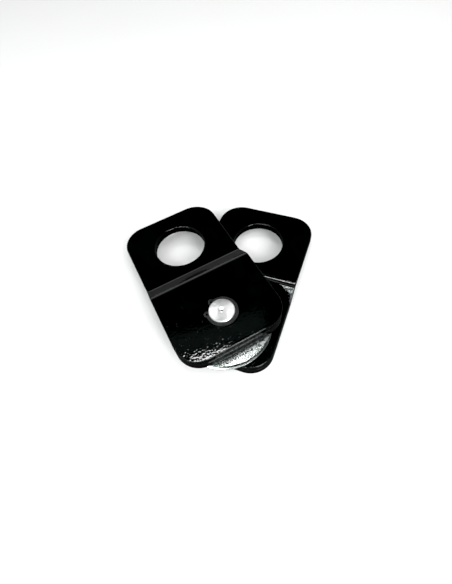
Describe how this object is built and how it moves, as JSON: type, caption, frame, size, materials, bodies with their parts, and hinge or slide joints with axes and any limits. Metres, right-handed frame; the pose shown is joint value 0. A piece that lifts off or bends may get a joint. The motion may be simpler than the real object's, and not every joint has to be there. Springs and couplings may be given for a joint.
{
  "type": "snatch block",
  "caption": "Swing-side snatch block: two joggled plates with shackle eyes, splayed open on one pin, with a grooved sheave between them.",
  "frame": {"origin": "on the pin's axis, at the outer face of the rear side, which lies on the ground", "axes": "+Z along the pin, from the rear side to the front side; +Y from the pin to the rear plate's eye; +X to the right seen from the front, so the front side is swung open towards -X"},
  "size_m": [0.1439, 0.1531, 0.0346],
  "materials": {
    "black_paint": "gloss black paint with a slight orange peel",
    "zinc_plate": "zinc plated, satin, turned",
    "turned_steel": "zinc plated, turned face",
    "spring_steel": "dull grey phosphated spring steel",
    "nipple_steel": "zinc plated",
    "polished_steel": "polished",
    "bronze": "machined bronze"
  },
  "bodies": {
    "rear_side": {"rear_strap_plate": "black_paint", "rear_cheek_plate": "black_paint"},
    "axle": {"axle_pin": "turned_steel", "retaining_ring": "spring_steel", "grease_nipple": "nipple_steel", "nipple_ball": "polished_steel", "nipple_spring": "spring_steel", "front_thrust_washer": "bronze", "rear_thrust_washer": "bronze"},
    "wheel": {"sheave": "zinc_plate", "sheave_bush": "bronze"},
    "front_side": {"front_strap_plate": "black_paint", "front_cheek_plate": "black_paint"}
  },
  "joints": [
    {"name": "axle_turn", "type": "hinge", "parent": "rear_side", "child": "axle", "pos_m": [0, 0, 0.016], "axis": [0, 0, 1], "continuous": true},
    {"name": "sheave_spin", "type": "hinge", "parent": "axle", "child": "wheel", "pos_m": [0, 0, 0.016], "axis": [0, 0, 1], "continuous": true},
    {"name": "front_swing", "type": "hinge", "parent": "rear_side", "child": "front_side", "pos_m": [0, 0, 0.016], "axis": [0, 0, 1], "continuous": true}
  ]
}
